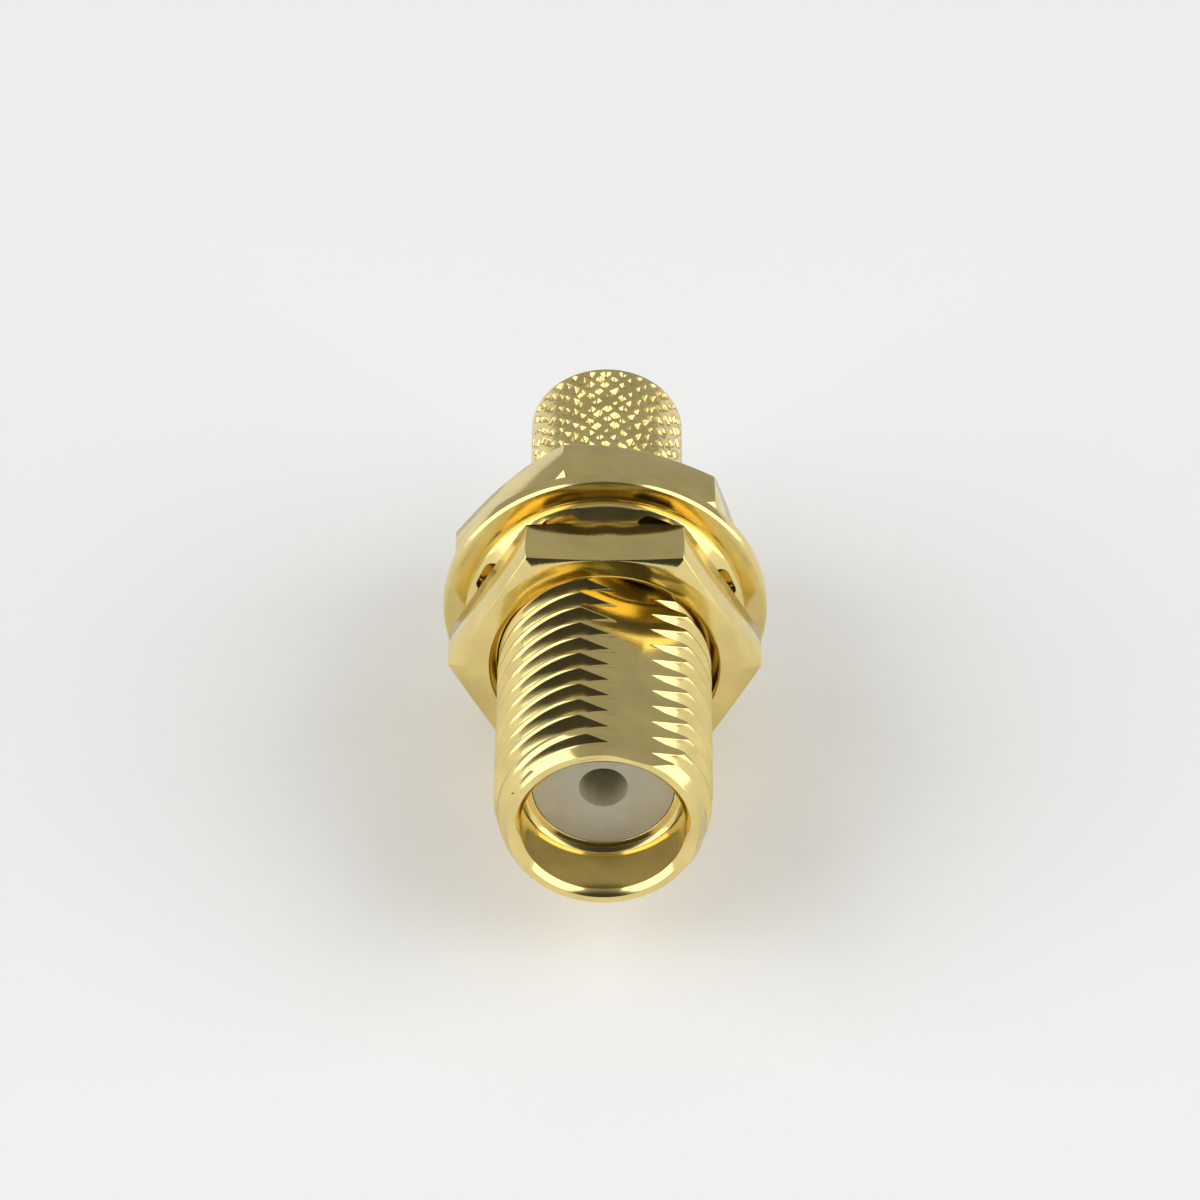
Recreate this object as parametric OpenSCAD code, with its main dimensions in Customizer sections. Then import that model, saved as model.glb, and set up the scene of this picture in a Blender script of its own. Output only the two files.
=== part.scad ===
// SMA connector: bulkhead jack with a crimp stem, its insulator, lock washer and hexagon nut.
// Millimetres. The axis lies along Y: the mating face points to -Y, the cable end to +Y, and the
// flat face that seats on the panel is in the plane y = 0. +Z is up.

/* [Threaded barrel] */
// outside diameter over the thread crests
thread_d = 6.3; // [6.2:0.01:6.35]
// length of the barrel, from the flange's seat face to the mating face
barrel_len = 10.1; // [9:0.1:14]
// diameter of the mating face, where the lead-in cone starts
nose_d = 5.58; // [5.3:0.02:5.9]
// length of the lead-in cone in front of the thread
nose_len = 0.8; // [0.3:0.05:1.2]
// distance from the axis to the flat cut along the barrel
flat_off = 2.68; // [2.6:0.01:2.95]
// turn of the flat about the axis, from straight up towards +X
flat_turn = 18.5; // [-90:0.5:90]
// diameter of the relief neck between the thread and the flange
neck_d = 5.7; // [5.3:0.05:6]
// length of the relief neck
neck_len = 0.8; // [0.4:0.05:0.9]

/* [Mating bore and insulator] */
// bore that receives the plug's outer contact
mouth_d = 4.75; // [4.6:0.01:4.9]
// width of the bevel at the mouth
mouth_bevel = 0.165; // [0.05:0.005:0.25]
// depth of the insulator's face behind the mating face
face_depth = 1.88; // [1.8:0.02:2.1]
// diameter of the insulator
ins_d = 4.1; // [4:0.01:4.15]
// length of the insulator
ins_len = 9.5; // [8:0.1:9.9]
// hole along the insulator for the centre contact
contact_d = 1.4; // [1.27:0.01:1.5]

/* [Flange and body hexagon] */
// flange diameter
flange_d = 9.6; // [9.3:0.05:11]
// flange thickness
flange_t = 0.5; // [0.3:0.05:1]
// bevel on both edges of the flange
flange_bevel = 0.08; // [0.02:0.01:0.14]
// width of the body hexagon across its flats
hex_af = 8; // [7.5:0.1:8.2]
// length of the body hexagon
hex_len = 2.3; // [1.5:0.1:4]
// turn of the hexagon's corners below the +X axis
hex_turn = 14.6; // [0:0.1:60]
// angle of the turned bevel at both ends of its corners
hex_bevel = 39; // [20:1:45]

/* [Crimp stem] */
// stem diameter under the knurl's crests
stem_d = 4.6; // [4.5:0.01:4.75]
// stem length behind the hexagon
stem_len = 6.4; // [5:0.1:9]
// bevel at the stem's end
stem_bevel = 0.2; // [0.05:0.01:0.22]
// bore for the cable's inner insulation
cable_d = 3.7; // [3.5:0.01:3.75]

/* [Lock washer] */
// outside diameter of the lock washer
washer_d = 8.3; // [8.25:0.05:8.6]
// diameter through the tips of its teeth
tip_d = 6.5; // [6.45:0.01:6.6]
// thickness of its sheet
sheet_t = 0.25; // [0.2:0.01:0.35]
// number of teeth
teeth = 8; // [6:1:10]
// width of the slots between the teeth
slot_w = 1.3; // [0.9:0.05:1.5]
// diameter at the closed ends of the slots
slot_end_d = 8.0; // [7.6:0.01:8.05]
// radius in the slot corners
slot_r = 0.4; // [0.1:0.01:0.42]
// turn of the first slot above the +X axis
slot_turn = 21; // [0:0.5:45]

/* [Hexagon nut] */
// width across flats
nut_af = 8; // [7.8:0.1:8.6]
// nut thickness
nut_t = 1.8; // [1.5:0.1:2.2]
// space kept for the lock washer between the nut and the flange
nut_gap = 0.9; // [0.9:0.05:3]
// angle of the turned bevel at its corners
nut_bevel = 10; // [8:1:35]
// radial clearance between the nut's plain bore and the barrel
nut_clear = 0.05; // [0.02:0.01:0.09]
// width of the countersink at both ends of the nut's bore
nut_sink = 0.2; // [0.1:0.01:0.3]

/* [Hidden] */
gold = [0.80, 0.62, 0.24];
white = [0.93, 0.92, 0.86];
round_fn = 96;
cut = 0.5; // how far a cutting shape passes a face
front_y = -barrel_len;
face_y = front_y + face_depth;
shoulder_y = face_y + ins_len;
hex_y = flange_t;
stem_y = hex_y + hex_len;
end_y = stem_y + stem_len;
face_inset = 0.03; // how far the bevel's circle stays inside the flats
washer_rise = nut_gap - 0.03; // height of the dished washer, just clear of the nut

$fn = round_fn;

// turns a shape drawn along Z so that its axis runs along +Y
module along_y() {
  rotate([-90, 0, 0]) children();
}

// solid of revolution from [radius, distance along the axis] points
module turned(points) {
  rotate_extrude() polygon(points);
}

// hexagonal prism between two planes, its corners bevelled at both ends by a turned cone
module bevelled_hexagon(af, from, to, angle) {
  corner_r = af / 2 / cos(30);
  face_r = af / 2 - face_inset;
  over_r = corner_r + 0.2;
  drop = (over_r - face_r) * tan(angle);
  intersection() {
    translate([0, 0, from]) cylinder(r = corner_r, h = to - from, $fn = 6);
    turned([
      [0, from], [face_r, from], [over_r, from + drop],
      [over_r, to - drop], [face_r, to], [0, to]
    ]);
  }
}

// barrel, flange and stem as they leave the lathe, still solid
module turned_blank() {
  thread_r = thread_d / 2;
  neck_r = neck_d / 2;
  flange_r = flange_d / 2;
  stem_r = stem_d / 2;
  turned([
    [0, front_y], [nose_d / 2, front_y], [thread_r, front_y + nose_len],
    [thread_r, -neck_len - (thread_r - neck_r)], [neck_r, -neck_len], [neck_r, 0],
    [flange_r - flange_bevel, 0], [flange_r, flange_bevel],
    [flange_r, flange_t - flange_bevel], [flange_r - flange_bevel, flange_t],
    [stem_r, flange_t], [stem_r, end_y - stem_bevel], [stem_r - stem_bevel, end_y],
    [0, end_y]
  ]);
}

// every diameter bored through the body, from the mouth to the cable end
module body_bores() {
  mouth_r = mouth_d / 2;
  cable_r = cable_d / 2;
  turned([
    [0, front_y - cut], [mouth_r + mouth_bevel + cut, front_y - cut],
    [mouth_r, front_y + mouth_bevel], [mouth_r, face_y], [0, face_y]
  ]);
  translate([0, 0, face_y - cut]) cylinder(d = ins_d, h = ins_len + cut);
  translate([0, 0, shoulder_y - cut]) cylinder(r = cable_r, h = end_y - shoulder_y + 2 * cut);
}

// the flat along the barrel that stops it turning in a D-shaped panel hole
module barrel_flat() {
  rotate([0, 0, flat_turn - 90])
    translate([flat_off, -thread_d / 2, front_y - cut])
      cube([thread_d / 2, thread_d, barrel_len + cut]);
}

module body() {
  color(gold) along_y() difference() {
    union() {
      turned_blank();
      rotate([0, 0, hex_turn]) bevelled_hexagon(hex_af, hex_y, stem_y, hex_bevel);
    }
    body_bores();
    barrel_flat();
  }
}

module insulator() {
  color(white) along_y() difference() {
    translate([0, 0, face_y]) cylinder(d = ins_d, h = ins_len);
    translate([0, 0, face_y - cut]) cylinder(d = contact_d, h = ins_len + 2 * cut);
  }
}

// one slot between two teeth, open towards the axis, with rounded outer corners
module tooth_slot() {
  end_r = slot_end_d / 2;
  low = -washer_rise - cut;
  tall = washer_rise + 2 * cut;
  translate([0, -slot_w / 2, low]) cube([end_r - slot_r, slot_w, tall]);
  translate([0, slot_r - slot_w / 2, low]) cube([end_r, slot_w - 2 * slot_r, tall]);
  for (side = [-1, 1])
    translate([end_r - slot_r, side * (slot_w / 2 - slot_r), low])
      cylinder(r = slot_r, h = tall);
}

module lock_washer() {
  tip_r = tip_d / 2;
  rim_r = washer_d / 2;
  color(gold) along_y() difference() {
    turned([
      [rim_r, 0], [rim_r, -sheet_t], [tip_r, -washer_rise],
      [tip_r, sheet_t - washer_rise]
    ]);
    for (i = [0 : teeth - 1])
      rotate([0, 0, -slot_turn - i * 360 / teeth]) tooth_slot();
  }
}

module hex_nut() {
  bore_r = thread_d / 2 + nut_clear;
  back = -nut_gap;
  front = back - nut_t;
  color(gold) along_y() difference() {
    bevelled_hexagon(nut_af, front, back, nut_bevel);
    translate([0, 0, front - cut]) cylinder(r = bore_r, h = nut_t + 2 * cut);
    translate([0, 0, front - cut])
      cylinder(r1 = bore_r + nut_sink + cut, r2 = bore_r, h = nut_sink + cut);
    translate([0, 0, back - nut_sink])
      cylinder(r1 = bore_r, r2 = bore_r + nut_sink + cut, h = nut_sink + cut);
  }
}

body();
insulator();
lock_washer();
hex_nut();
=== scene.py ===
# %% [markdown]
# # A small gold-plated coaxial jack
#
# The real object is a bulkhead jack about 19 mm long: a barrel with a fine screw thread and a
# flat along it, a flange, a body hexagon, a knurled crimp stem, a white insulator with a hole
# for the contact, and two loose pieces on the barrel, a toothed lock washer and a hexagon nut.
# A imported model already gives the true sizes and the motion. Here each piece is made again as
# a fine surface, because the thread, the knurl and the rounded edges are what polished metal
# shows.

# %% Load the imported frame
import math

import bpy
import numpy as np
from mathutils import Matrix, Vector


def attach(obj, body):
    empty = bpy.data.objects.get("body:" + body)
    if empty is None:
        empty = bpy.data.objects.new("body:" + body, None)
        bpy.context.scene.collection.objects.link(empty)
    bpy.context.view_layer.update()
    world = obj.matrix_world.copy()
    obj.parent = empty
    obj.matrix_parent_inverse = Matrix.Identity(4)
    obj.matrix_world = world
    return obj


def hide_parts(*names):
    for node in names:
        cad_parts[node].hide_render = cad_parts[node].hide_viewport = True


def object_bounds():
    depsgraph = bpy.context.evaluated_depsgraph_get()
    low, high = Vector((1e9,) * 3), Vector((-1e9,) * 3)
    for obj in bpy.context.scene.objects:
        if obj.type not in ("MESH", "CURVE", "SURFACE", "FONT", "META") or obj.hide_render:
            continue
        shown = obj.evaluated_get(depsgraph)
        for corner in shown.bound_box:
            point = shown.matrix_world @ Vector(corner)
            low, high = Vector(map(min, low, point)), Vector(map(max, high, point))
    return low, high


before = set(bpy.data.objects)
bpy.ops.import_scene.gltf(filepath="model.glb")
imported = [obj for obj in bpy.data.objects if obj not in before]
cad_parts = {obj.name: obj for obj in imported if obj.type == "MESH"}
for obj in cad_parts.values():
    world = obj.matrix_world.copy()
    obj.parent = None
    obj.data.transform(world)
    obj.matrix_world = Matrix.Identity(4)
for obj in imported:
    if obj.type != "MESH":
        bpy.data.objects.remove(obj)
cad_low, cad_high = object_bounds()
print("frame nodes:", sorted(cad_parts))
print("frame size in mm:", [round((b - a) * 1000, 3) for a, b in zip(cad_low, cad_high)])

# %% [markdown]
# ## Sizes
#
# A turned part is described by radii and by places along its axis. The axis is Y: the mating
# face looks to -Y, the cable end to +Y, and y = 0 is the flange's seat. Writing the sizes once,
# in millimetres, keeps every surface in step with its neighbours. The meshes are scaled to
# metres only when they are handed to Blender.

# %% Sizes of the turned body, in millimetres
MM = 0.001
FACE_Y = -10.1                 # mating face
THREAD_R = 3.15                # over the thread crests
ROOT_R = 2.73                  # bottom of the thread groove
PITCH = 0.7056                 # one turn of the thread, 36 to the inch
GROOVE_Y, GROOVE_TURN = -8.85, 60.0   # a groove passes this place at this angle, in degrees
FLAT_OFF, FLAT_TURN = 2.68, 71.5      # the flat's distance from the axis and its direction
NECK_R, NECK_Y = 2.85, -0.8    # relief neck behind the thread
BORE_R, INS_Y = 2.375, -8.22   # mating bore and the insulator's face
INS_R, HOLE_R, SHOULDER_Y = 2.05, 0.70, 1.28
CABLE_R = 1.85
FLANGE_R, FLANGE_T = 4.80, 0.50
STEM_R, STEM_Y, END_Y = 2.30, 2.80, 9.20
HEX_ACROSS, BEVEL_CIRCLE = 8.0, 3.97   # both hexagons, and the circle where their bevels start
FLANGE_BEVEL, MOUTH_BEVEL, STEM_BEVEL = 0.08, 0.165, 0.20
COLUMNS = 252                  # points round the body, 42 for each side of its hexagon
print("body length in mm:", END_Y - FACE_Y)

# %% [markdown]
# ## A mesh from a grid
#
# Nearly every piece here is one closed surface that runs round the axis. It can be stored as
# rows of points, each row a closed loop, with faces woven between neighbouring rows. Writing
# the points and faces straight into the mesh is exact and quick, and nothing has to be merged
# afterwards. The cells that close up where a slanting thread row meets a straight ring become
# triangles or vanish, so that no face is left without area.

# %% Helpers: faces from a grid of point numbers, and a finished object
def woven_faces(ids):
    """Each cell joins a point with its right neighbour and the same two in the next row. A
    corner that repeats the one before it is dropped: three left make a triangle, two make
    nothing."""
    cells = np.stack([ids[:-1, :-1], ids[1:, :-1], ids[1:, 1:], ids[:-1, 1:]], -1).reshape(-1, 4)
    repeated = cells == np.roll(cells, 1, axis=1)
    count = repeated.sum(1)
    quads = cells[count == 0]
    threes = count == 1
    return quads, cells[threes][~repeated[threes]].reshape(-1, 3)


def signed_volume(points, quads, tris):
    """The sum over all triangles of the triple product of their corners, over six. It is
    positive where the faces point outwards."""
    every = np.concatenate([quads[:, [0, 1, 2]], quads[:, [0, 2, 3]], tris])
    a, b, c = points[every[:, 0]], points[every[:, 1]], points[every[:, 2]]
    return float(np.einsum("ij,ij->i", a, np.cross(b, c)).sum() / 6)


def finished_piece(name, points, quads, tris, material, body, stands_for=()):
    """Puts millimetre points and their faces into a mesh in metres, turns the faces outwards
    by the sign of the volume, shades it smooth with normals weighted by face area, and tells
    the frame which body carries it."""
    volume = signed_volume(points, quads, tris)
    if volume < 0:
        quads, tris = quads[:, ::-1], tris[:, ::-1]
    mesh = bpy.data.meshes.new(name)
    mesh.from_pydata((points * MM).tolist(), [], quads.tolist() + tris.tolist())
    mesh.validate()
    mesh.polygons.foreach_set("use_smooth", np.ones(len(mesh.polygons), bool))
    mesh.set_sharp_from_angle(angle=math.radians(50))
    mesh.materials.append(material)
    piece = bpy.data.objects.new(name, mesh)
    bpy.context.scene.collection.objects.link(piece)
    even = piece.modifiers.new("even shading", "WEIGHTED_NORMAL")
    even.keep_sharp = True
    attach(piece, body)
    if stands_for:
        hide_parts(*stands_for)
    print(f"{name}: {len(points)} points, {2 * len(quads) + len(tris)} triangles,"
          f" {abs(volume):.2f} cubic mm")


# %% [markdown]
# ## Rings and rounded profiles
#
# A lathe leaves sharp corners, but plating and tumbling soften them by a few hundredths of a
# millimetre, and that small round is what catches the light. So each profile's corners are
# replaced by short arcs before it is spun round the axis.

# %% Helpers: a profile with rounded corners, and rings made from it
def rounded_profile(corners, radius, steps=3):
    """Each inner corner of a (radius, y) line is cut back by radius times the tangent of half
    its turn, and an arc of that radius joins the two cuts."""
    p = np.array(corners, float)
    line = [p[0]]
    for before, here, after in zip(p[:-2], p[1:-1], p[2:]):
        back, ahead = before - here, after - here
        long_back, long_ahead = np.hypot(*back), np.hypot(*ahead)
        back, ahead = back / long_back, ahead / long_ahead
        half = 0.5 * np.arccos(np.clip(-back @ ahead, -1, 1))
        if half < 0.03:
            line.append(here)
            continue
        cutback = min(radius * np.tan(half), 0.45 * long_back, 0.45 * long_ahead)
        r = cutback / np.tan(half)
        centre = here + (back + ahead) / np.hypot(*(back + ahead)) * r / np.cos(half)
        start, end = here + back * cutback - centre, here + ahead * cutback - centre
        t = np.linspace(0, 1, steps + 1)[:, None]
        arc = (np.sin((1 - t) * 2 * half) * start + np.sin(t * 2 * half) * end) / np.sin(2 * half)
        line.extend(centre + arc)
    line.append(p[-1])
    return np.array(line)


def ring(radius, y, angles):
    """A loop of points at one radius and place, or one for each angle: (r cos, y, r sin)."""
    a = np.radians(angles)
    return np.stack([radius * np.cos(a), y + 0 * a, radius * np.sin(a)], -1)


def rings(profile, angles):
    """One ring for each (radius, y) of a profile."""
    return [ring(r, y, angles) for r, y in profile]


# %% [markdown]
# ## The thread
#
# The thread is a groove that climbs the barrel, one pitch for each turn. If the rows of the
# grid climbed with it, every row would keep one depth of the groove, so its crests and roots
# would be exact lines and few rows would do. So the rows are helices. Where they run past the
# front or the neck they are cut off at a straight ring. The flat is cut as a plane: on it, a
# point's radius is the flat's distance over the cosine of its angle from the flat's direction.

# %% Thread: groove, envelope and flat
ROUND_R = 0.10                                   # radius at the bottom of the groove
TANGENT = ROUND_R * math.cos(math.radians(30))   # where that round meets the flanks
TANGENT_H = ROUND_R * (1 - math.sin(math.radians(30)))
SLOPE = math.sqrt(3)                             # flanks 30 degrees from square to the axis


def groove_radius(off):
    """Radius at a distance along the axis from the groove's middle: a round bottom, then
    flanks that rise 1.73 for each step along the axis."""
    d = np.abs(off)
    bottom = ROOT_R + ROUND_R - np.sqrt(np.maximum(ROUND_R**2 - np.minimum(d, TANGENT) ** 2, 0))
    return np.where(d < TANGENT, bottom, ROOT_R + TANGENT_H + (d - TANGENT) * SLOPE)


BARREL_BACK = [0, 0.33, 0.95, 1.25, 9.0, 9.3]     # distances behind the mating face
BARREL_REACH = [2.74, 2.93, 3.09, THREAD_R, THREAD_R, NECK_R]   # and the radius at each


def envelope(y):
    """Radius of the barrel before the groove is cut, in straight steps from place to place:
    nose, thread crests, neck."""
    return np.interp(y - FACE_Y, BARREL_BACK, BARREL_REACH)


def floor_radius(y):
    """The groove runs out as it comes to the relief neck."""
    return np.interp(y, [-1.5, -0.85], [ROOT_R - 0.05, NECK_R])


def barrel_row_node(angle, turn, kind):
    """The place and radius of one row of the thread at an angle in degrees. kind is a side
    (-1 or 1) and one of: bottom, root, foot, flank, edge, land, crest."""
    middle = GROOVE_Y + PITCH * turn - PITCH * (angle - GROOVE_TURN) / 360
    side, where = kind
    full = TANGENT + (THREAD_R - ROOT_R - TANGENT_H) / SLOPE
    edge = full + 0 * angle
    for _ in range(3):
        rise = envelope(middle + side * edge) - ROOT_R - TANGENT_H
        edge = np.clip(TANGENT + rise / SLOPE, TANGENT + 0.06, full)
    off = {"bottom": 0 * edge, "root": 0.5 * TANGENT + 0 * edge, "foot": TANGENT + 0 * edge,
           "flank": edge - 0.05, "edge": edge - 0.016, "land": edge + 0.022,
           "crest": PITCH / 2 + 0 * edge}[where] * side
    y = middle + off
    return y, np.minimum(envelope(y), np.maximum(groove_radius(off), floor_radius(y)))


THREAD_ROWS = [(1, "bottom"), (1, "root"), (1, "foot"), (1, "flank"), (1, "edge"), (1, "land"),
               (1, "crest"), (-1, "land"), (-1, "edge"), (-1, "flank"), (-1, "foot"), (-1, "root")]
FLAT_COLUMNS = 40
print("thread depth:", round(THREAD_R - ROOT_R, 3), "mm, rows in a pitch:", len(THREAD_ROWS))

# %% Thread: angles of a row, and the softened cut of the flat
def flat_columns(left, right):
    """Angles of a row, counted round from the flat's left edge: evenly over the turned part,
    then evenly over the flat, with a close pair of columns at each edge of the flat."""
    outer = COLUMNS - FLAT_COLUMNS
    edge = 0.5
    span = 360 - left - right
    a = np.concatenate([[0.0], edge + (span - 2 * edge) * np.linspace(0, 1, outer - 1), [span]])
    flat_span = left + right
    b = np.concatenate([span + edge * 0.8
                        + (flat_span - 1.6 * edge) * np.linspace(0, 1, FLAT_COLUMNS - 1), [360.0]])
    return FLAT_TURN + left + np.concatenate([a, b])


def cut_by_flat(radius, angle):
    """The smaller of the turned radius and the flat's, with the corner between them rounded
    over a hundredth of a millimetre."""
    swing = np.cos(np.radians(angle - FLAT_TURN))
    flat = FLAT_OFF / np.maximum(swing, 0.05)
    soft = 0.012
    h = np.maximum(soft - np.abs(radius - flat), 0)
    return np.minimum(radius, flat) - h * h / (4 * soft)


def flat_edge(radius_at, side):
    """Angle from the flat's direction at which the turned surface meets the flat, found by
    repeating: the arc cosine of the flat's distance over the radius there."""
    swing = 20.0
    for _ in range(12):
        r = radius_at(FLAT_TURN + side * swing)
        swing = np.degrees(np.arccos(np.clip(FLAT_OFF / r, -1, 1)))
    return swing


def flat_ring(radius, y):
    """A turned ring with the flat cut across it."""
    swing = flat_edge(lambda a: np.array(radius), 1)
    a = flat_columns(swing, swing)[:-1]
    return ring(cut_by_flat(np.full(a.shape, radius), a), y, a)


nose_ring = flat_ring(BARREL_REACH[0], FACE_Y)
neck_ring = flat_ring(NECK_R, NECK_Y)
print("flat's width at the crests:", round(2 * math.sqrt(THREAD_R**2 - FLAT_OFF**2), 3), "mm")

# %% Thread: all helical rows, cut off at the nose ring and the neck ring
per_turn = len(THREAD_ROWS)
turns = range(-3, 15)
place, reach, angles_of = [], [], []
left_edges = []
for turn in turns:
    for kind in THREAD_ROWS:
        shift = turn + (1 if kind[0] < 0 else 0)     # the far side belongs to the next groove
        left_edges.append(float(flat_edge(
            lambda a: barrel_row_node(np.array(a), shift, kind)[1], 1)))
row = 0
for turn in turns:
    for kind in THREAD_ROWS:
        shift = turn + (1 if kind[0] < 0 else 0)
        left = left_edges[row]
        right = float(flat_edge(
            lambda a: barrel_row_node(np.array(a + 360.0), shift, kind)[1], -1))
        a = flat_columns(left, right)
        a_end = FLAT_TURN + 360 + left_edges[max(row - per_turn, 0)]
        last = a > FLAT_TURN + 360 - right
        a[last] = (FLAT_TURN + 360 - right) + (a[last] - (FLAT_TURN + 360 - right)) * (
            (a_end - (FLAT_TURN + 360 - right)) / (left + right))
        y, r = barrel_row_node(a, shift, kind)
        place.append(y)
        reach.append(cut_by_flat(r, a))
        angles_of.append(a)
        row += 1
place, reach, angles_of = map(np.array, (place, reach, angles_of))
print("helical rows:", place.shape[0], "with", place.shape[1] - 1, "columns")


def cut_off_rows(place, points, per_turn, low_y, high_y, low_ids, high_ids, first_id, near=0.012):
    """Numbers the points of helical rows. A point past a limit takes the number of the ring
    there; the last column takes the number of the first column one turn before."""
    rows, columns = place.shape
    low, high = place <= low_y + near, place >= high_y - near
    own = ~(low | high)
    own[:, -1] = False
    ids = np.zeros((rows, columns), int)
    ids[own] = first_id + np.arange(own.sum())
    wrap = np.arange(columns) % (columns - 1)
    ids = np.where(low, low_ids[wrap][None, :], np.where(high, high_ids[wrap][None, :], ids))
    seam = np.maximum(np.arange(rows) - per_turn, 0)
    free = ~(low[:, -1] | high[:, -1])
    ids[free, -1] = ids[seam[free], 0]
    return ids, points[own]


# %% [markdown]
# ## Flange and body hexagon
#
# The hexagon was milled on a turned blank, and the lathe's bevel cuts its corners in curved
# lines. The line where a cone meets a flat side is exact if the row simply follows it: its
# distance along the axis is the bevel's slope times how far the hexagon's outline stands
# outside the bevel's circle. The corners between the sides get a small round.

# %% Hexagon outline with rounded corners
def hexagon_outline(across, turn, columns, corner=0.06, arc=3):
    """Points round a hexagon, from the middle of a corner: half an arc about a point set back
    from the corner, a straight side, and half an arc, six times over."""
    per_side = columns // 6
    inner = across / 2 - corner
    start, end = turn + 60 * np.arange(6)[:, None], turn + 60 * (np.arange(6)[:, None] + 1)
    first = np.radians(start + np.linspace(0, 30, arc + 1)[None, :])
    last = np.radians(end - np.linspace(30, 0, arc + 1)[None, :-1])
    centre = np.radians(start), np.radians(end)
    reach_c = inner / math.cos(math.radians(30))
    a = np.stack([reach_c * np.cos(centre[0]) + corner * np.cos(first),
                  reach_c * np.sin(centre[0]) + corner * np.sin(first)], -1)
    b = np.stack([reach_c * np.cos(centre[1]) + corner * np.cos(last),
                  reach_c * np.sin(centre[1]) + corner * np.sin(last)], -1)
    n = per_side - 2 * arc
    t = np.linspace(0, 1, n + 1)[None, 1:-1, None]
    side = a[:, -1:, :] * (1 - t) + b[:, :1, :] * t
    return np.concatenate([a, side, b], 1).reshape(-1, 2)


def hexagon_rows(outline, bevel_r, slope, y_from, y_to, soft=0.025):
    """Rows along a bevelled hexagon: the bevel's circle, the curve where the bevel meets the
    sides with a row on each side of it, and the same again at the far end."""
    reach_h = np.hypot(outline[:, 0], outline[:, 1])
    unit = outline / reach_h[:, None]
    step = 1 if y_to > y_from else -1

    def row(radius, y):
        return np.stack([unit[:, 0] * radius, y, unit[:, 1] * radius], -1)

    flat_y = np.full(reach_h.shape, float(y_from))
    rise = (reach_h - bevel_r) * slope
    top = y_from + step * rise
    small = np.minimum(soft, (reach_h - bevel_r) * 0.5)
    rows = [row(np.full(reach_h.shape, bevel_r - 0.03), flat_y),
            row(np.full(reach_h.shape, bevel_r), flat_y + step * 0.002),
            row(reach_h - small, top - step * small * slope),
            row(reach_h, top + step * soft)]
    low = y_to - step * rise
    rows += [row(reach_h, low - step * soft),
             row(reach_h - small, low + step * small * slope),
             row(np.full(reach_h.shape, bevel_r), np.full(reach_h.shape, y_to - step * 0.002)),
             row(np.full(reach_h.shape, bevel_r - 0.03), np.full(reach_h.shape, float(y_to)))]
    return rows


BODY_BEVEL, NUT_BEVEL = math.tan(math.radians(39)), math.tan(math.radians(10))
BODY_CORNER = 105.4                              # one corner's direction, in degrees
body_hexagon = hexagon_outline(HEX_ACROSS, BODY_CORNER, COLUMNS)
print("hexagon across corners:", round(2 * np.hypot(*body_hexagon.T).max(), 3), "mm")

# %% [markdown]
# ## The knurled stem
#
# The crimp stem was rolled with a coarse, worn knurl, so that steep little pits are left in an
# otherwise plain cylinder. They stand in two interlaced sets, each pit a little off its place
# and deeper or shallower than the next. The stem has a finer grid than the rest of the body,
# so it is a sleeve of its own, seated on the hexagon's back face.

# %% Knurl: depth of the pits over the stem
PITS_ROUND, PIT_STEP, PIT_DEPTH = 28, 0.60, 0.17


def knurl_depth(angle, y):
    """For each of two interlaced sets of pits: one minus the sum of the distances along the
    two directions over the pit's half width, times that pit's own depth."""
    chance = np.random.default_rng(7)
    depth = np.zeros(np.broadcast(angle, y).shape)
    for half in (0.0, 0.5):
        u, v = angle / 360 * PITS_ROUND - half, (y - STEM_Y) / PIT_STEP - half
        iu, iv = np.round(u).astype(int), np.round(v).astype(int)
        own = iu % PITS_ROUND, iv % 16
        table = chance.uniform(0.35, 1.0, (PITS_ROUND, 16))
        wide = chance.uniform(0.30, 0.44, (PITS_ROUND, 16))
        lean = chance.normal(0, 0.25, (PITS_ROUND, 16))
        nudge_u, nudge_v = chance.normal(0, 0.07, (2, PITS_ROUND, 16))
        du, dv = u - iu - nudge_u[own], v - iv - nudge_v[own]
        shape = np.clip(1 - (np.abs(du + lean[own] * dv) + np.abs(dv)) / wide[own], 0, 1)
        depth = np.maximum(depth, np.minimum(shape * 1.25, 1) * table[own])
    return depth * PIT_DEPTH


STEM_COLUMNS, STEM_ROWS = 420, 168
stem_angles = np.arange(STEM_COLUMNS) * 360 / STEM_COLUMNS
stem_y = np.linspace(STEM_Y + 0.06, END_Y - 0.22, STEM_ROWS)
fade = np.clip(np.minimum(END_Y - 0.25 - stem_y, stem_y - STEM_Y - 0.08) / 0.12, 0, 1)
stem_r = STEM_R - knurl_depth(stem_angles[None, :], stem_y[:, None]) * fade[:, None]
even_angles = 103.0 + np.arange(COLUMNS) * 360 / COLUMNS
print("deepest pit in mm:", round(float(STEM_R - stem_r.min()), 3))

# %% [markdown]
# ## The body in one surface
#
# The body is a single piece of brass, bored right through, so its skin is a closed ring-shaped
# surface. Its rows start at the mating face, run back over the thread, flange and hexagon, and
# return forward through the cable bore, the insulator's seat and the mating bore.

# %% Colours and finishes come first, because each piece is given its own when it is made
def node_link(tree, a, a_socket, b, b_socket):
    tree.links.new(a.outputs[a_socket], b.inputs[b_socket])


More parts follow.
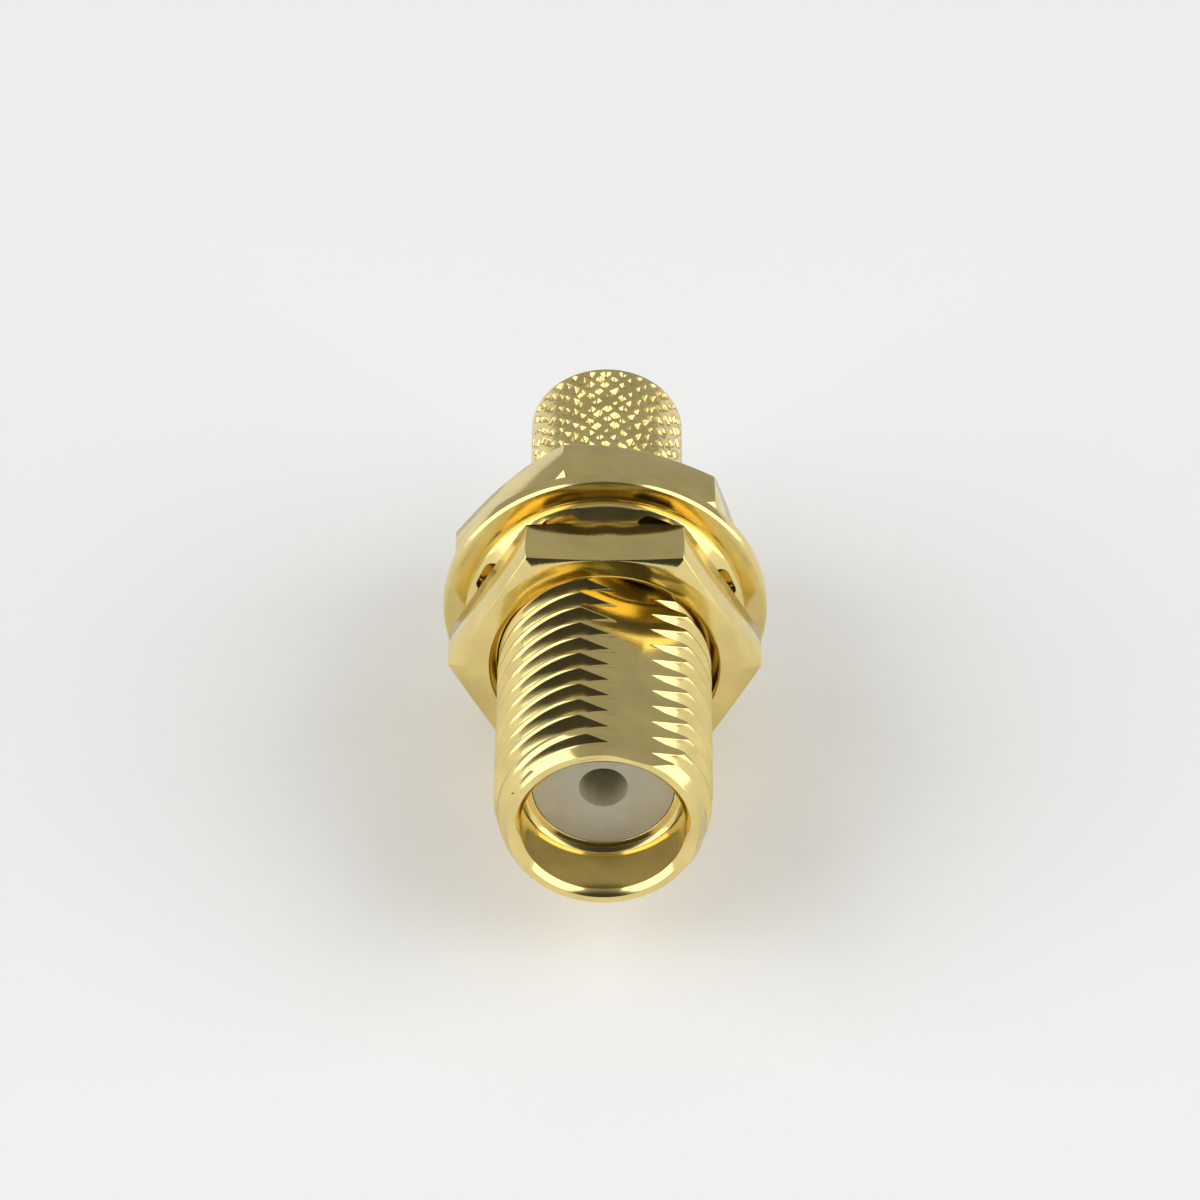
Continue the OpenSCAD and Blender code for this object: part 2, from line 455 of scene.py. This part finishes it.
def gold_finish(name, colour, rough, turned_marks):
    """Gold plate: a metallic shader. A soft noise moves the colour and the roughness a little,
    and a fine noise that is stretched round the axis gives the turning marks. It is read at
    (distance from the axis, place along it), so it follows the turned surface."""
    material = bpy.data.materials.new(name)
    material.use_nodes = True
    tree = material.node_tree
    shader = tree.nodes["Principled BSDF"]
    shader.inputs["Metallic"].default_value = 1.0
    spot = tree.nodes.new("ShaderNodeTexCoord")
    cloud = tree.nodes.new("ShaderNodeTexNoise")
    cloud.inputs["Scale"].default_value = 900
    cloud.inputs["Detail"].default_value = 4
    node_link(tree, spot, "Object", cloud, "Vector")
    tint = tree.nodes.new("ShaderNodeValToRGB")
    tint.color_ramp.elements[0].position, tint.color_ramp.elements[1].position = 0.35, 0.68
    tint.color_ramp.elements[0].color = (*[c * 0.90 for c in colour], 1)
    tint.color_ramp.elements[1].color = (*[min(1, c * 1.05) for c in colour], 1)
    node_link(tree, cloud, "Fac", tint, "Fac")
    node_link(tree, tint, "Color", shader, "Base Color")
    worn = tree.nodes.new("ShaderNodeMapRange")
    worn.inputs["From Min"].default_value, worn.inputs["From Max"].default_value = 0.3, 0.7
    worn.inputs["To Min"].default_value = rough * 0.8
    worn.inputs["To Max"].default_value = rough * 1.25
    node_link(tree, cloud, "Fac", worn, "Value")
    node_link(tree, worn, "Result", shader, "Roughness")
    # place round the axis: (radius, y, 0), so that the noise makes rings
    split = tree.nodes.new("ShaderNodeSeparateXYZ")
    node_link(tree, spot, "Object", split, "Vector")
    flat = tree.nodes.new("ShaderNodeCombineXYZ")
    node_link(tree, split, "X", flat, "X")
    node_link(tree, split, "Z", flat, "Z")
    away = tree.nodes.new("ShaderNodeVectorMath")
    away.operation = "LENGTH"
    node_link(tree, flat, "Vector", away, 0)
    turned = tree.nodes.new("ShaderNodeCombineXYZ")
    tree.links.new(away.outputs["Value"], turned.inputs["X"])
    node_link(tree, split, "Y", turned, "Y")
    marks = tree.nodes.new("ShaderNodeTexNoise")
    marks.inputs["Scale"].default_value = 14000
    marks.inputs["Detail"].default_value = 2
    node_link(tree, turned, "Vector", marks, "Vector")
    grain = tree.nodes.new("ShaderNodeTexNoise")
    grain.inputs["Scale"].default_value = 5200
    grain.inputs["Detail"].default_value = 3
    node_link(tree, spot, "Object", grain, "Vector")
    mix = tree.nodes.new("ShaderNodeMix")
    mix.inputs[0].default_value = turned_marks
    tree.links.new(grain.outputs["Fac"], mix.inputs[2])
    tree.links.new(marks.outputs["Fac"], mix.inputs[3])
    bump = tree.nodes.new("ShaderNodeBump")
    bump.inputs["Strength"].default_value = 0.25
    bump.inputs["Distance"].default_value = 0.000006
    tree.links.new(mix.outputs[0], bump.inputs["Height"])
    node_link(tree, bump, "Normal", shader, "Normal")
    return material


GOLD = (0.83, 0.67, 0.27)
turned_gold = gold_finish("turned gold plate", GOLD, 0.13, 0.7)
stem_gold = gold_finish("knurled gold plate", GOLD, 0.22, 0.0)
washer_gold = gold_finish("stamped gold plate", GOLD, 0.15, 0.2)
nut_gold = gold_finish("milled gold plate", GOLD, 0.14, 0.4)
print("gold colour:", GOLD)

# %% Insulator finish: a waxy white plastic
plastic = bpy.data.materials.new("waxy white plastic")
plastic.use_nodes = True
tree = plastic.node_tree
shader = tree.nodes["Principled BSDF"]
shader.inputs["Roughness"].default_value = 0.55
shader.inputs["Specular IOR Level"].default_value = 0.35
spot = tree.nodes.new("ShaderNodeTexCoord")
cloud = tree.nodes.new("ShaderNodeTexNoise")
cloud.inputs["Scale"].default_value = 1600
cloud.inputs["Detail"].default_value = 3
node_link(tree, spot, "Object", cloud, "Vector")
tint = tree.nodes.new("ShaderNodeValToRGB")
tint.color_ramp.elements[0].position, tint.color_ramp.elements[1].position = 0.3, 0.7
tint.color_ramp.elements[0].color = (0.64, 0.60, 0.49, 1)
tint.color_ramp.elements[1].color = (0.70, 0.67, 0.57, 1)
node_link(tree, cloud, "Fac", tint, "Fac")
node_link(tree, tint, "Color", shader, "Base Color")
bump = tree.nodes.new("ShaderNodeBump")
bump.inputs["Strength"].default_value = 0.15
bump.inputs["Distance"].default_value = 0.00001
node_link(tree, cloud, "Fac", bump, "Height")
node_link(tree, bump, "Normal", shader, "Normal")

# %% Body: rows before and after the thread, and the whole skin
thread_points = np.stack([reach * np.cos(np.radians(angles_of)), place,
                          reach * np.sin(np.radians(angles_of))], -1)

back_rows = [neck_ring, flat_ring(NECK_R, -0.04), flat_ring(NECK_R + 0.03, 0.0)]
flange = rounded_profile([(3.3, 0), (FLANGE_R - FLANGE_BEVEL, 0), (FLANGE_R, FLANGE_BEVEL),
                          (FLANGE_R, FLANGE_T - FLANGE_BEVEL),
                          (FLANGE_R - FLANGE_BEVEL, FLANGE_T), (3.96, FLANGE_T)], 0.03)
back_rows += rings(flange, even_angles)
back_rows += hexagon_rows(body_hexagon, BEVEL_CIRCLE, BODY_BEVEL, FLANGE_T, STEM_Y)
tail = rounded_profile([(2.5, STEM_Y), (CABLE_R, STEM_Y),
                        (CABLE_R, SHOULDER_Y), (INS_R + 0.01, SHOULDER_Y),
                        (INS_R + 0.01, INS_Y - 0.005), (2.25, INS_Y - 0.005),
                        (BORE_R, INS_Y - 0.10), (BORE_R, FACE_Y + MOUTH_BEVEL),
                        (BORE_R + MOUTH_BEVEL, FACE_Y), (2.60, FACE_Y)], 0.03)
back_rows += rings(tail, even_angles)

nose_ids = np.arange(COLUMNS)
straight = np.array([nose_ring] + back_rows)               # row 0 is the nose ring
straight_points = straight.reshape(-1, 3)
neck_ids = COLUMNS + np.arange(COLUMNS)
ids, own_points = cut_off_rows(place, thread_points, per_turn, FACE_Y, NECK_Y,
                               nose_ids, neck_ids, len(straight_points))
quads_a, tris_a = woven_faces(ids)
loop = np.arange(len(straight_points)).reshape(-1, COLUMNS)
loop = np.concatenate([loop[1:], loop[:1]])                # neck ring back round to the nose ring
quads_b, tris_b = woven_faces(np.concatenate([loop, loop[:, :1]], 1))
body_points = np.concatenate([straight_points, own_points])
finished_piece("jack_body", body_points, np.concatenate([quads_a, quads_b]),
               np.concatenate([tris_a, tris_b]), turned_gold, "connector",
               ["body"])

# %% Crimp stem: the knurled rows, the bevelled end, and back through the cable bore
stem_points = np.stack([stem_r * np.cos(np.radians(stem_angles)),
                        np.repeat(stem_y[:, None], STEM_COLUMNS, 1),
                        stem_r * np.sin(np.radians(stem_angles))], -1)
stem_end = rounded_profile([(STEM_R, END_Y - 0.21), (STEM_R, END_Y - STEM_BEVEL),
                            (STEM_R - STEM_BEVEL, END_Y), (CABLE_R + 0.06, END_Y),
                            (CABLE_R, END_Y - 0.06), (CABLE_R, STEM_Y - 0.01),
                            (STEM_R + 0.05, STEM_Y - 0.01)], 0.03)
stem_rows = [ring(STEM_R + 0.04, STEM_Y + 0.004, stem_angles),
             ring(STEM_R, STEM_Y + 0.04, stem_angles)]
stem_rows += list(stem_points) + rings(stem_end, stem_angles)
loop = np.arange(len(stem_rows) * STEM_COLUMNS).reshape(-1, STEM_COLUMNS)
loop = np.concatenate([loop, loop[:1]])
quads, tris = woven_faces(np.concatenate([loop, loop[:, :1]], 1))
finished_piece("crimp_stem", np.array(stem_rows).reshape(-1, 3), quads, tris,
               stem_gold, "connector")

# %% [markdown]
# ## The insulator
#
# The white insulator is a plain rod of fluoroplastic with one hole for the centre contact. A
# spun profile with softly rounded edges is all that it needs.

# %% Insulator
core = rounded_profile([(HOLE_R, 0), (HOLE_R, INS_Y), (INS_R, INS_Y), (INS_R, SHOULDER_Y),
                        (HOLE_R, SHOULDER_Y), (HOLE_R, 0.01)], 0.03)
fine = np.arange(120) * 3.0
grid = np.array(rings(core, fine))
loop = np.arange(len(core) * 120).reshape(-1, 120)
loop = np.concatenate([loop, loop[:1]])
quads, tris = woven_faces(np.concatenate([loop, loop[:, :1]], 1))
finished_piece("insulator_core", grid.reshape(-1, 3), quads, tris, plastic,
               "connector", ["insulator"])

# %% [markdown]
# ## The lock washer
#
# The lock washer was stamped from thin spring sheet and dished, with eight slots that leave
# eight teeth pointing in. Seen from the axis, each direction meets its inner edge once, so the
# outline can be given as a radius for each angle: the tooth tips' circle, then the sides and
# the rounded end of a slot. Rows run from that outline to the rim, and the dish lifts each
# point in step with its own radius.

# %% Lock washer outline
RIM_R, TIP_R, SHEET, RISE = 4.15, 3.25, 0.25, 0.87
SLOT_HALF, SLOT_END, SLOT_ROUND = 0.65, 4.00, 0.40


def washer_outline():
    """One slot and one tooth as (along, across) points: half the slot's end, a quarter round,
    the straight side, and half of the tooth's tip arc. It is mirrored and repeated."""
    end = np.stack([np.full(4, SLOT_END), np.linspace(0, SLOT_HALF - SLOT_ROUND, 4)], -1)
    q = np.radians(np.linspace(0, 90, 7))[1:]
    turn = np.stack([SLOT_END - SLOT_ROUND + SLOT_ROUND * np.cos(q),
                     SLOT_HALF - SLOT_ROUND + SLOT_ROUND * np.sin(q)], -1)
    tip_along = math.sqrt(TIP_R**2 - SLOT_HALF**2)
    side = np.stack([np.linspace(SLOT_END - SLOT_ROUND, tip_along, 6)[1:],
                     np.full(5, SLOT_HALF)], -1)
    a0 = math.degrees(math.atan2(SLOT_HALF, tip_along))
    tip = np.radians(np.linspace(a0, 22.5, 7)[1:])
    arc = np.stack([TIP_R * np.cos(tip), TIP_R * np.sin(tip)], -1)
    half = np.concatenate([end, turn, side, arc])
    a = np.degrees(np.arctan2(half[:, 1], half[:, 0]))
    r = np.hypot(half[:, 0], half[:, 1])
    a = np.concatenate([a, 45 - a[-2:0:-1]])
    r = np.concatenate([r, r[-2:0:-1]])
    angles = np.concatenate([21 + 45 * i + a for i in range(8)])
    return angles, np.tile(r, 8)


washer_angles, washer_inner = washer_outline()


def dish(radius):
    """The sheet's front side: full rise at the tips, falling evenly to the rim."""
    return -SHEET - (RISE - SHEET) * (RIM_R - radius) / (RIM_R - TIP_R)


def dished_row(share, depth, inset=0.0):
    """A loop a share of the way from the inner outline to the rim, at a depth in the sheet."""
    r = washer_inner + inset + (RIM_R - inset - washer_inner - inset) * share
    a = np.radians(washer_angles)
    return np.stack([r * np.cos(a), dish(r) + depth, r * np.sin(a)], -1)


rows = [dished_row(0, 0.03), dished_row(0, 0.0, 0.02)]
rows += [dished_row(s, 0.0) for s in (0.1, 0.35, 0.65, 0.9)]
rows += [dished_row(1, 0.0, 0.02), dished_row(1, 0.03), dished_row(1, SHEET - 0.03),
         dished_row(1, SHEET, 0.02)]
rows += [dished_row(s, SHEET) for s in (0.9, 0.65, 0.35, 0.1)]
rows += [dished_row(0, SHEET, 0.02), dished_row(0, SHEET - 0.03)]
washer_points = np.array(rows).reshape(-1, 3)
count = len(washer_angles)
loop = np.arange(len(rows) * count).reshape(-1, count)
loop = np.concatenate([loop, loop[:1]])
quads, tris = woven_faces(np.concatenate([loop, loop[:, :1]], 1))
finished_piece("toothed_washer", washer_points, quads, tris, washer_gold,
               "washer", ["lock_washer"])

# %% [markdown]
# ## The nut
#
# The nut's inside thread fits the barrel's groove: its ridge stands where the groove is, a
# few hundredths of a millimetre clear of it, so the nut can be screwed along without touching.
# It is made of helical rows as the barrel's thread is, and cut off at the countersinks.

# %% Nut: helical rows of its thread, its faces and its hexagon
NUT_COLUMNS = 180
NUT_BACK, NUT_FRONT = -0.9, -2.7
NUT_CREST, NUT_ROOT, SINK_R = 2.87, 3.22, 3.40
NUT_ROWS = [(1, 0.0), (1, 0.095), (1, 0.125), (1, 0.275), (1, 0.315), (1, PITCH / 2),
            (-1, 0.315), (-1, 0.275), (-1, 0.125), (-1, 0.095)]


def nut_row_node(angle, turn, side, off):
    """Place and radius of one row of the inside thread: the barrel's groove radius plus a
    clearance, kept between the crest and the root, and never inside the countersinks."""
    y = GROOVE_Y + PITCH * turn - PITCH * (angle - GROOVE_TURN) / 360 + side * off
    r = np.clip(groove_radius(off) + 0.07, NUT_CREST, NUT_ROOT) + 0 * angle
    sink = SINK_R - np.minimum(y - NUT_FRONT, NUT_BACK - y)
    return y, np.maximum(r, sink)


NUT_SEAM, NUT_CORNER = 90, 60          # where the thread's rows begin, and a corner
nut_angles = NUT_SEAM + np.arange(NUT_COLUMNS + 1) * 360 / NUT_COLUMNS
place, reach = [], []
for turn in range(6, 15):
    for side, off in NUT_ROWS:
        y, r = nut_row_node(nut_angles, turn + (1 if side < 0 else 0), side, off)
        place.append(y)
        reach.append(r)
place, reach = np.array(place), np.array(reach)
a = np.radians(nut_angles)[None, :]
nut_thread = np.stack([reach * np.cos(a), place, reach * np.sin(a)], -1)

nut_hexagon = hexagon_outline(HEX_ACROSS, NUT_CORNER, NUT_COLUMNS)
start = nut_angles[:-1]
outer = [ring(SINK_R, NUT_FRONT, start), ring(SINK_R + 0.02, NUT_FRONT, start)]
outer += hexagon_rows(nut_hexagon, BEVEL_CIRCLE, NUT_BEVEL, NUT_FRONT, NUT_BACK)
outer += [ring(SINK_R + 0.02, NUT_BACK, start), ring(SINK_R, NUT_BACK, start)]
# the hexagon's rows start at its corner, so they are rolled round to start at the seam
shift = int(round((NUT_CORNER - NUT_SEAM) % 360 / (360 / NUT_COLUMNS)))
outer = [outer[0], outer[1]] + [np.roll(o, shift, 0) for o in outer[2:-2]] + outer[-2:]
flat_points = np.array(outer).reshape(-1, 3)
front_ids = np.arange(NUT_COLUMNS)
back_ids = (len(outer) - 1) * NUT_COLUMNS + np.arange(NUT_COLUMNS)
ids, own_points = cut_off_rows(place, nut_thread, len(NUT_ROWS), NUT_FRONT, NUT_BACK,
                               front_ids, back_ids, len(flat_points))
quads_a, tris_a = woven_faces(ids)
loop = np.arange(len(flat_points)).reshape(-1, NUT_COLUMNS)
quads_b, tris_b = woven_faces(np.concatenate([loop, loop[:, :1]], 1)[:, ::-1])
finished_piece("panel_nut", np.concatenate([flat_points, own_points]),
               np.concatenate([quads_a, quads_b]), np.concatenate([tris_a, tris_b]),
               nut_gold, "nut", ["hex_nut"])

# %% [markdown]
# ## Floor, light and camera
#
# Polished metal shows its surroundings, so the light is part of the finish. Two large soft
# panels stand to the left and the right, the room above and behind is an even grey, and it is
# dark in an oval in front, where the person who looks at the piece stands. The pale floor lies
# just under the flange.

# %% Floor
floor_material = bpy.data.materials.new("pale floor")
floor_material.use_nodes = True
floor_shader = floor_material.node_tree.nodes["Principled BSDF"]
floor_shader.inputs["Base Color"].default_value = (0.95, 0.95, 0.95, 1)
floor_shader.inputs["Roughness"].default_value = 0.9
floor_shader.inputs["Specular IOR Level"].default_value = 0.0
FLOOR_R, FLOOR_SIDES, FLOOR_BELOW = 0.6, 64, 0.0002     # metres, corners, metres
floor_z = float(cad_low.z) - FLOOR_BELOW
a = np.radians(np.arange(FLOOR_SIDES) * 360 / FLOOR_SIDES)
disc = np.stack([FLOOR_R * np.cos(a), FLOOR_R * np.sin(a), np.full(FLOOR_SIDES, floor_z)], -1)
floor_mesh = bpy.data.meshes.new("floor")
floor_mesh.from_pydata(disc.tolist(), [], [list(range(FLOOR_SIDES))])
floor_mesh.materials.append(floor_material)
floor = bpy.data.objects.new("floor", floor_mesh)
bpy.context.scene.collection.objects.link(floor)

# %% Room light and two soft panels
def direction(azimuth, elevation):
    """A unit vector: azimuth 0 looks back along -Y and grows towards +X, elevation is above
    the floor."""
    az, el = math.radians(azimuth), math.radians(elevation)
    return Vector((math.sin(az) * math.cos(el), -math.cos(az) * math.cos(el), math.sin(el)))


DARK_WIDE, DARK_HIGH = 0.66, 0.88        # half width and height of the dark part, as sines
DARK, ROOM = (0.05, 0.05, 0.045), (0.40, 0.40, 0.39)
# In front, a direction lies in the dark oval where the length of (x / half width, z / half
# height) is under one. Behind y = 0 that length is taken as 2, so the room is grey there.
world = bpy.data.worlds.new("room")
bpy.context.scene.world = world
world.use_nodes = True
tree = world.node_tree
ground = tree.nodes["Background"]
spot = tree.nodes.new("ShaderNodeTexCoord")
shrunk = tree.nodes.new("ShaderNodeVectorMath")
shrunk.operation = "MULTIPLY"
node_link(tree, spot, "Generated", shrunk, 0)
shrunk.inputs[1].default_value = (1 / DARK_WIDE, 0, 1 / DARK_HIGH)
out_by = tree.nodes.new("ShaderNodeVectorMath")
out_by.operation = "LENGTH"
node_link(tree, shrunk, "Vector", out_by, 0)
split = tree.nodes.new("ShaderNodeSeparateXYZ")
node_link(tree, spot, "Generated", split, "Vector")
behind = tree.nodes.new("ShaderNodeMapRange")
behind.inputs["From Min"].default_value, behind.inputs["From Max"].default_value = -0.35, 0.0
behind.inputs["To Min"].default_value, behind.inputs["To Max"].default_value = 0.0, 2.0
node_link(tree, split, "Y", behind, "Value")
larger = tree.nodes.new("ShaderNodeMath")
larger.operation = "MAXIMUM"
tree.links.new(out_by.outputs["Value"], larger.inputs[0])
tree.links.new(behind.outputs["Result"], larger.inputs[1])
shade = tree.nodes.new("ShaderNodeValToRGB")
shade.color_ramp.interpolation = "EASE"
shade.color_ramp.elements[0].position = 0.85
shade.color_ramp.elements[0].color = (*DARK, 1)
shade.color_ramp.elements[1].position = 1.0
shade.color_ramp.elements[1].color = (*ROOM, 1)
tree.links.new(larger.outputs["Value"], shade.inputs["Fac"])
node_link(tree, shade, "Color", ground, "Color")
ground.inputs["Strength"].default_value = 1.0


def soft_panel(name, azimuth, elevation, distance, wide, high, radiance):
    """A rectangular lamp that faces the piece. Its power is its radiance times pi times its
    area."""
    lamp = bpy.data.lights.new(name, "AREA")
    lamp.shape = "RECTANGLE"
    lamp.size, lamp.size_y = wide, high
    lamp.energy = radiance * math.pi * wide * high
    holder = bpy.data.objects.new(name, lamp)
    back = direction(azimuth, elevation)
    holder.location = back * distance
    holder.rotation_mode = "QUATERNION"
    holder.rotation_quaternion = back.to_track_quat("Z", "Y")
    bpy.context.scene.collection.objects.link(holder)
    return holder


PANEL_TURN, PANEL_UP, PANEL_AWAY = 76, 30, 0.45          # degrees, degrees, metres
PANEL_WIDE, PANEL_HIGH, PANEL_RADIANCE = 0.60, 0.50, 1.75
soft_panel("left panel", -PANEL_TURN, PANEL_UP, PANEL_AWAY, PANEL_WIDE, PANEL_HIGH,
           PANEL_RADIANCE)
soft_panel("right panel", PANEL_TURN, PANEL_UP, PANEL_AWAY, PANEL_WIDE, PANEL_HIGH,
           PANEL_RADIANCE)
print("panels at", PANEL_TURN, "degrees to each side")

# %% Camera
camera_data = bpy.data.cameras.new("camera")
camera = bpy.data.objects.new("camera", camera_data)
bpy.context.scene.collection.objects.link(camera)
bpy.context.scene.camera = camera
CAMERA_TURN, CAMERA_UP, CAMERA_AWAY = 0.38, 38.1, 0.200  # degrees, degrees, metres
camera_data.sensor_width = 36
camera_data.lens = 201.6
camera_data.clip_start, camera_data.clip_end = 0.01, 5
target = Vector((-0.000156, 0.000516, 0))
back = direction(CAMERA_TURN, CAMERA_UP)
camera.location = target + back * CAMERA_AWAY
camera.rotation_mode = "QUATERNION"
camera.rotation_quaternion = back.to_track_quat("Z", "Y")
bpy.context.scene.view_settings.view_transform = "Standard"
print("camera at", [round(c, 4) for c in camera.location])
